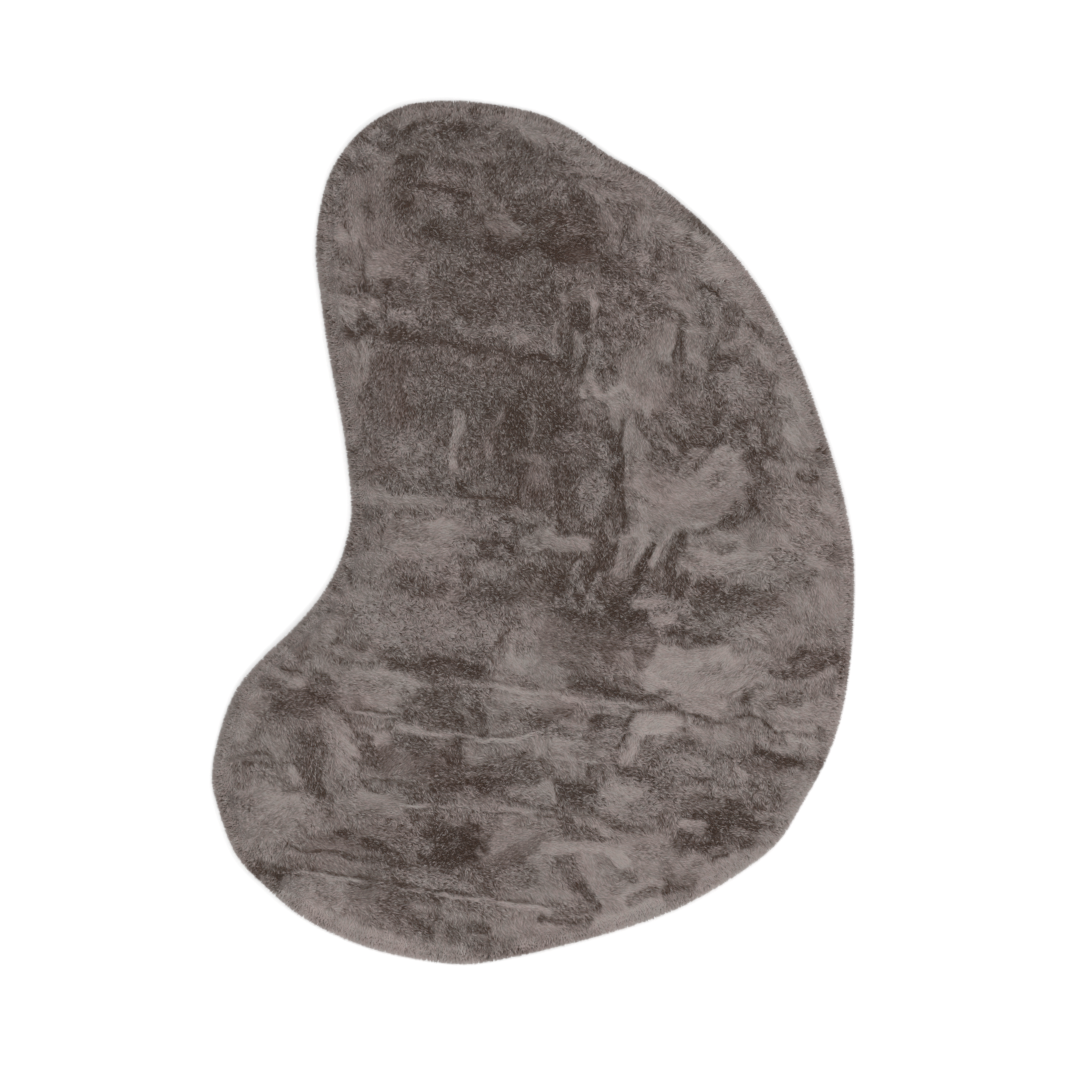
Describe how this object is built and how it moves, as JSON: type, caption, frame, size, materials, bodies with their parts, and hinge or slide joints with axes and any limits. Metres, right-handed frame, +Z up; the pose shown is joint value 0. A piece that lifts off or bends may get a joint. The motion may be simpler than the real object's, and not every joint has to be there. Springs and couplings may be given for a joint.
{
  "type": "organic shaped rug",
  "caption": "Kidney-shaped plush rug lying flat, with dense brushed pile, soft fold marks and a rounded furry rim.",
  "frame": {"origin": "on the floor, under the centre of the rug's bounding box", "axes": "+X across the rug, away from the bay; +Y along the rug, towards the narrower lobe; +Z up, out of the pile"},
  "size_m": [1.195, 1.605, 0.0275],
  "materials": {
    "plush_pile": "warm grey-taupe plush pile, matt with a soft sheen where it is brushed flat, darker brown where it stands"
  },
  "bodies": {
    "root": {"rug": "plush_pile"}
  },
  "joints": []
}
